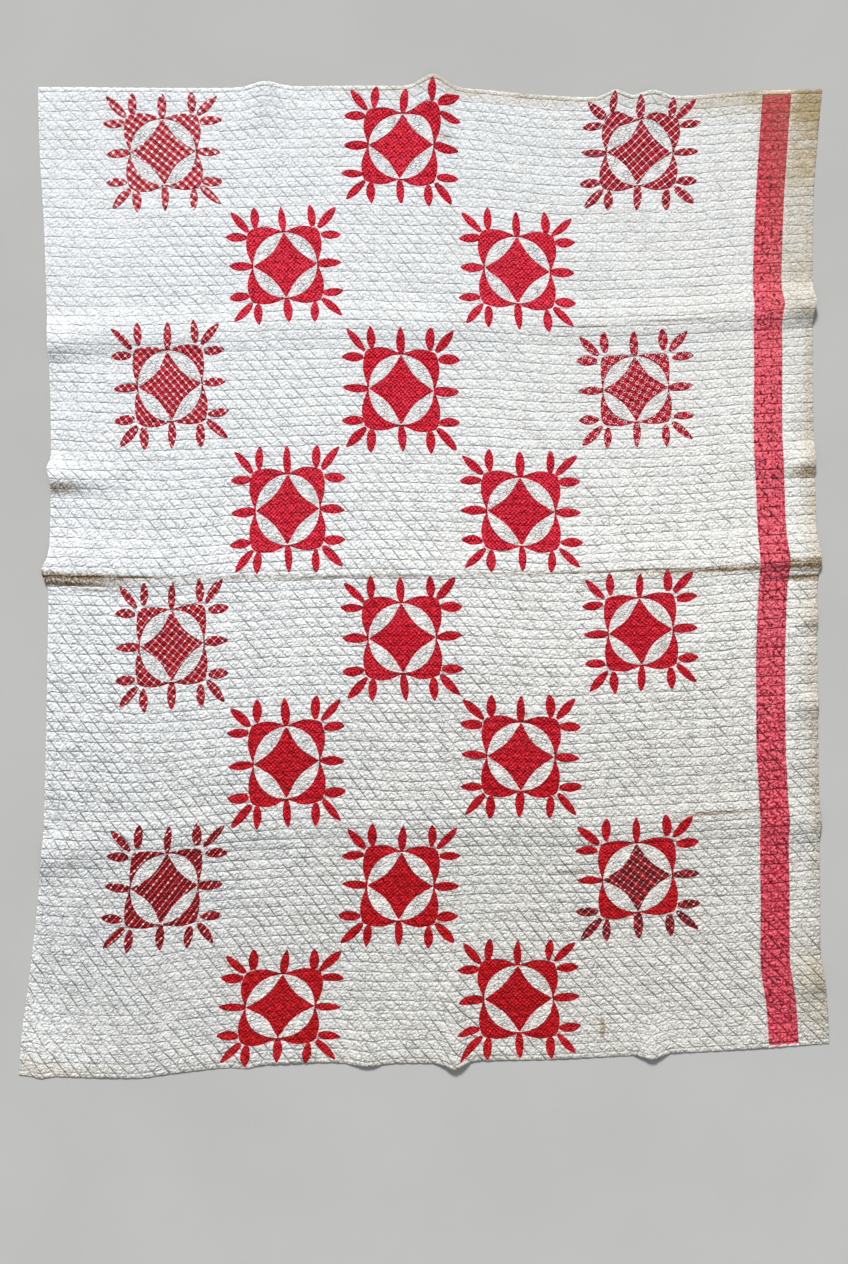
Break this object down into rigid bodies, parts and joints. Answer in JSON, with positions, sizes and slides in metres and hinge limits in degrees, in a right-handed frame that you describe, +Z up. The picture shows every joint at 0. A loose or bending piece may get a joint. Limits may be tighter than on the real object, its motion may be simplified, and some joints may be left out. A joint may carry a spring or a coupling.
{
  "type": "applique quilt",
  "caption": "Bed quilt laid out face up: red reel-and-leaf applique in a checkerboard on white quilted cotton, with a rose strip down one side.",
  "frame": {"origin": "middle of the quilt's box, on the surface that it lies on", "axes": "+X to the edge beside the rose strip, +Y to the top edge, +Z up, off the surface"},
  "size_m": [1.694, 2.0948, 0.0293],
  "materials": {
    "white_cotton": "washed white cotton, crinkled, warmer with age towards the lower right",
    "rose_strip": "faded rose-red cotton",
    "plain_red": "plain red cotton, washed",
    "printed_red": "red cotton with small white checks, lattices, squares or dotted lines, or plaid"
  },
  "bodies": {
    "root": {"white_field": "white_cotton", "rose_strip": "rose_strip", "outer_strip": "white_cotton", "motif_1_1": "printed_red", "motif_1_3": "plain_red", "motif_1_5": "printed_red", "motif_2_2": "plain_red", "motif_2_4": "plain_red", "motif_3_1": "printed_red", "motif_3_3": "plain_red", "motif_3_5": "printed_red", "motif_4_2": "plain_red", "motif_4_4": "plain_red", "motif_5_1": "printed_red", "motif_5_3": "plain_red", "motif_5_5": "plain_red", "motif_6_2": "plain_red", "motif_6_4": "plain_red", "motif_7_1": "printed_red", "motif_7_3": "plain_red", "motif_7_5": "printed_red", "motif_8_2": "plain_red", "motif_8_4": "plain_red"}
  },
  "joints": []
}
